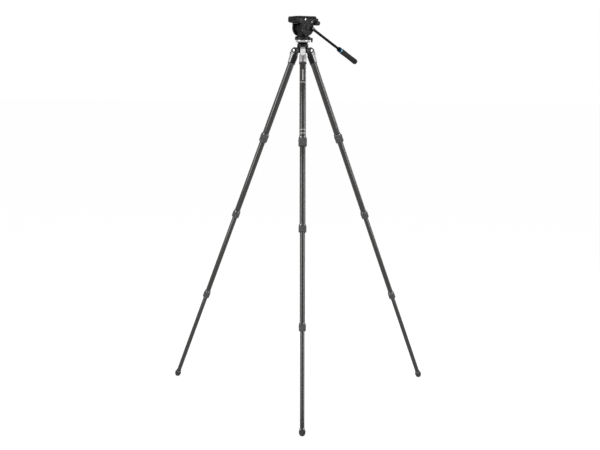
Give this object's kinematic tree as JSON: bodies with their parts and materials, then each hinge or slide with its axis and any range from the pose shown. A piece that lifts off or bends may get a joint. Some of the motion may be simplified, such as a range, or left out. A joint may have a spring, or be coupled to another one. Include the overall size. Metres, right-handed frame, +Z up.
{
  "type": "video tripod with fluid head",
  "caption": "Three-legged telescopic carbon-fibre stand with twist locks, levelling bowl and a pan-and-tilt fluid head with a quick-release plate and an angled pan handle.",
  "frame": {"origin": "on the floor under the middle of the bounding box", "axes": "+Z up; the front leg points along -Y; +X is to the right seen from the front"},
  "size_m": [1.1426, 0.9926, 1.644],
  "materials": {
    "carbon": "satin woven carbon-fibre tube",
    "silver": "satin titanium-grey cast metal",
    "black_metal": "satin black coated casting",
    "black_plastic": "satin",
    "rubber": "matt ribbed",
    "steel": "polished",
    "navy": "dark blue anodised",
    "blue": "light blue anodised",
    "vial": "clear yellow-green"
  },
  "bodies": {
    "apex": {"apex": "black_metal", "front_leg_hip_bolt": "steel", "right_leg_hip_bolt": "steel", "left_leg_hip_bolt": "steel"},
    "front_leg": {"front_leg_shoulder": "silver", "front_leg_tube_1": "carbon"},
    "front_leg_tab": {"front_leg_angle_tab": "silver"},
    "front_leg_lock_1": {"front_leg_twist_lock_1": "rubber"},
    "front_leg_lock_2": {"front_leg_twist_lock_2": "rubber"},
    "front_leg_lock_3": {"front_leg_twist_lock_3": "rubber"},
    "front_leg_section_2": {"front_leg_tube_2": "carbon"},
    "front_leg_section_3": {"front_leg_tube_3": "carbon"},
    "front_leg_section_4": {"front_leg_tube_4": "carbon", "front_leg_foot": "rubber"},
    "right_leg": {"right_leg_shoulder": "silver", "right_leg_tube_1": "carbon"},
    "right_leg_tab": {"right_leg_angle_tab": "silver"},
    "right_leg_lock_1": {"right_leg_twist_lock_1": "rubber"},
    "right_leg_lock_2": {"right_leg_twist_lock_2": "rubber"},
    "right_leg_lock_3": {"right_leg_twist_lock_3": "rubber"},
    "right_leg_section_2": {"right_leg_tube_2": "carbon"},
    "right_leg_section_3": {"right_leg_tube_3": "carbon"},
    "right_leg_section_4": {"right_leg_tube_4": "carbon", "right_leg_foot": "rubber"},
    "left_leg": {"left_leg_shoulder": "silver", "left_leg_tube_1": "carbon"},
    "left_leg_tab": {"left_leg_angle_tab": "silver"},
    "left_leg_lock_1": {"left_leg_twist_lock_1": "rubber"},
    "left_leg_lock_2": {"left_leg_twist_lock_2": "rubber"},
    "left_leg_lock_3": {"left_leg_twist_lock_3": "rubber"},
    "left_leg_section_2": {"left_leg_tube_2": "carbon"},
    "left_leg_section_3": {"left_leg_tube_3": "carbon"},
    "left_leg_section_4": {"left_leg_tube_4": "carbon", "left_leg_foot": "rubber"},
    "level_cup": {"level_liner": "black_plastic"},
    "level_base": {"level_ball": "silver", "head_base": "black_metal"},
    "level_knob": {"level_lock_knob": "black_plastic"},
    "pan_lever": {"pan_lock_lever": "black_plastic"},
    "pan_head": {"pan_housing": "black_metal", "tilt_shaft": "steel"},
    "tilt_cradle": {"tilt_cheek_left": "black_metal", "tilt_cheek_right": "black_metal", "tilt_cap": "black_plastic", "plate_deck": "black_metal", "bubble_vial": "vial", "deck_screw": "steel", "bar_rosette": "steel"},
    "tilt_lever": {"tilt_lock_lever": "black_plastic"},
    "plate": {"quick_release_plate": "black_metal", "plate_pad": "rubber"},
    "camera_screw_body": {"camera_screw": "steel"},
    "release_button": {"plate_release_button": "steel"},
    "plate_knob": {"plate_lock_knob": "black_plastic"},
    "handle": {"bar_clamp": "black_metal", "pan_bar": "black_metal", "grip_collar": "navy", "grip_ring": "blue", "pan_bar_grip": "rubber"},
    "clamp_screw": {"bar_clamp_knob": "steel"}
  },
  "joints": [
    {"name": "front_leg_fold", "type": "hinge", "parent": "apex", "child": "front_leg", "pos_m": [0, 0.12908, 1.5], "axis": [1, 0, 0], "range_deg": [0, 21]},
    {"name": "front_leg_tab_pull", "type": "slide", "parent": "front_leg", "child": "front_leg_tab", "axis": [0, -0.9245, 0.3811], "range_m": [0, 0.004], "stiffness_N_per_m": 1200, "springref_m": -0.002},
    {"name": "front_leg_lock_1_twist", "type": "hinge", "parent": "front_leg", "child": "front_leg_lock_1", "pos_m": [0, -0.02792, 1.11909], "axis": [0, 0.3811, 0.9245], "range_deg": [0, 90]},
    {"name": "front_leg_section_2_retract", "type": "slide", "parent": "front_leg", "child": "front_leg_section_2", "axis": [0, 0.3811, 0.9245], "range_m": [0, 0.332]},
    {"name": "front_leg_lock_2_twist", "type": "hinge", "parent": "front_leg_section_2", "child": "front_leg_lock_2", "pos_m": [0, -0.16854, 0.77793], "axis": [0, 0.3811, 0.9245], "range_deg": [0, 90]},
    {"name": "front_leg_section_3_retract", "type": "slide", "parent": "front_leg_section_2", "child": "front_leg_section_3", "axis": [0, 0.3811, 0.9245], "range_m": [0, 0.366]},
    {"name": "front_leg_lock_3_twist", "type": "hinge", "parent": "front_leg_section_3", "child": "front_leg_lock_3", "pos_m": [0, -0.32402, 0.40071], "axis": [0, 0.3811, 0.9245], "range_deg": [0, 90]},
    {"name": "front_leg_section_4_retract", "type": "slide", "parent": "front_leg_section_3", "child": "front_leg_section_4", "axis": [0, 0.3811, 0.9245], "range_m": [0, 0.38]},
    {"name": "right_leg_fold", "type": "hinge", "parent": "apex", "child": "right_leg", "pos_m": [0.02771, 0.17708, 1.5], "axis": [-0.5, 0.866, 0], "range_deg": [0, 21]},
    {"name": "right_leg_tab_pull", "type": "slide", "parent": "right_leg", "child": "right_leg_tab", "axis": [0.8007, 0.4623, 0.3811], "range_m": [0, 0.004], "stiffness_N_per_m": 1200, "springref_m": -0.002},
    {"name": "right_leg_lock_1_twist", "type": "hinge", "parent": "right_leg", "child": "right_leg_lock_1", "pos_m": [0.16368, 0.25558, 1.11909], "axis": [-0.33, -0.1905, 0.9245], "range_deg": [0, 90]},
    {"name": "right_leg_section_2_retract", "type": "slide", "parent": "right_leg", "child": "right_leg_section_2", "axis": [-0.33, -0.1905, 0.9245], "range_m": [0, 0.332]},
    {"name": "right_leg_lock_2_twist", "type": "hinge", "parent": "right_leg_section_2", "child": "right_leg_lock_2", "pos_m": [0.28546, 0.32588, 0.77793], "axis": [-0.33, -0.1905, 0.9245], "range_deg": [0, 90]},
    {"name": "right_leg_section_3_retract", "type": "slide", "parent": "right_leg_section_2", "child": "right_leg_section_3", "axis": [-0.33, -0.1905, 0.9245], "range_m": [0, 0.366]},
    {"name": "right_leg_lock_3_twist", "type": "hinge", "parent": "right_leg_section_3", "child": "right_leg_lock_3", "pos_m": [0.4201, 0.40362, 0.40071], "axis": [-0.33, -0.1905, 0.9245], "range_deg": [0, 90]},
    {"name": "right_leg_section_4_retract", "type": "slide", "parent": "right_leg_section_3", "child": "right_leg_section_4", "axis": [-0.33, -0.1905, 0.9245], "range_m": [0, 0.38]},
    {"name": "left_leg_fold", "type": "hinge", "parent": "apex", "child": "left_leg", "pos_m": [-0.02771, 0.17708, 1.5], "axis": [-0.5, -0.866, 0], "range_deg": [0, 21]},
    {"name": "left_leg_tab_pull", "type": "slide", "parent": "left_leg", "child": "left_leg_tab", "axis": [-0.8007, 0.4623, 0.3811], "range_m": [0, 0.004], "stiffness_N_per_m": 1200, "springref_m": -0.002},
    {"name": "left_leg_lock_1_twist", "type": "hinge", "parent": "left_leg", "child": "left_leg_lock_1", "pos_m": [-0.16368, 0.25558, 1.11909], "axis": [0.33, -0.1905, 0.9245], "range_deg": [0, 90]},
    {"name": "left_leg_section_2_retract", "type": "slide", "parent": "left_leg", "child": "left_leg_section_2", "axis": [0.33, -0.1905, 0.9245], "range_m": [0, 0.332]},
    {"name": "left_leg_lock_2_twist", "type": "hinge", "parent": "left_leg_section_2", "child": "left_leg_lock_2", "pos_m": [-0.28546, 0.32588, 0.77793], "axis": [0.33, -0.1905, 0.9245], "range_deg": [0, 90]},
    {"name": "left_leg_section_3_retract", "type": "slide", "parent": "left_leg_section_2", "child": "left_leg_section_3", "axis": [0.33, -0.1905, 0.9245], "range_m": [0, 0.366]},
    {"name": "left_leg_lock_3_twist", "type": "hinge", "parent": "left_leg_section_3", "child": "left_leg_lock_3", "pos_m": [-0.4201, 0.40362, 0.40071], "axis": [0.33, -0.1905, 0.9245], "range_deg": [0, 90]},
    {"name": "left_leg_section_4_retract", "type": "slide", "parent": "left_leg_section_3", "child": "left_leg_section_4", "axis": [0.33, -0.1905, 0.9245], "range_m": [0, 0.38]},
    {"name": "level_side_to_side", "type": "hinge", "parent": "apex", "child": "level_cup", "pos_m": [0, 0.16108, 1.543], "axis": [0, 1, 0], "range_deg": [-8, 8]},
    {"name": "level_front_to_back", "type": "hinge", "parent": "level_cup", "child": "level_base", "pos_m": [0, 0.16108, 1.543], "axis": [1, 0, 0], "range_deg": [-8, 8]},
    {"name": "level_knob_turn", "type": "hinge", "parent": "apex", "child": "level_knob", "pos_m": [0, 0.19608, 1.52], "axis": [0, 1, 0], "range_deg": [0, 180]},
    {"name": "pan_lock_turn", "type": "hinge", "parent": "level_base", "child": "pan_lever", "pos_m": [0.03532, 0.1423, 1.54835], "axis": [0.8829, -0.4695, 0], "range_deg": [0, 60]},
    {"name": "pan", "type": "hinge", "parent": "level_base", "child": "pan_head", "pos_m": [0, 0.16108, 1.57], "axis": [0, 0, 1], "continuous": true},
    {"name": "tilt", "type": "hinge", "parent": "pan_head", "child": "tilt_cradle", "pos_m": [0, 0.16108, 1.594], "axis": [0.6018, -0.7986, 0], "range_deg": [-32, 65]},
    {"name": "tilt_lock_turn", "type": "hinge", "parent": "tilt_cradle", "child": "tilt_lever", "pos_m": [-0.02287, 0.19142, 1.594], "axis": [-0.6018, 0.7986, 0], "range_deg": [0, 50]},
    {"name": "plate_slide", "type": "slide", "parent": "tilt_cradle", "child": "plate", "axis": [-0.7986, -0.6018, 0], "range_m": [-0.012, 0.005]},
    {"name": "camera_screw_turn", "type": "hinge", "parent": "plate", "child": "camera_screw_body", "pos_m": [0, 0.16108, 1.634], "axis": [0, 0, 1], "continuous": true},
    {"name": "release_button_press", "type": "slide", "parent": "tilt_cradle", "child": "release_button", "axis": [-0.6018, 0.7986, 0], "range_m": [0, 0.0012], "stiffness_N_per_m": 1500, "springref_m": -0.001},
    {"name": "plate_knob_turn", "type": "hinge", "parent": "tilt_cradle", "child": "plate_knob", "pos_m": [0.0628, 0.16082, 1.614], "axis": [0.6018, -0.7986, 0], "range_deg": [0, 120]},
    {"name": "handle_angle", "type": "hinge", "parent": "tilt_cradle", "child": "handle", "pos_m": [0.03968, 0.14165, 1.591], "axis": [-0.6018, 0.7986, 0], "range_deg": [-38, 30]},
    {"name": "clamp_screw_turn", "type": "hinge", "parent": "handle", "child": "clamp_screw", "pos_m": [0.04426, 0.13558, 1.591], "axis": [0.6018, -0.7986, 0], "range_deg": [0, 90]}
  ]
}
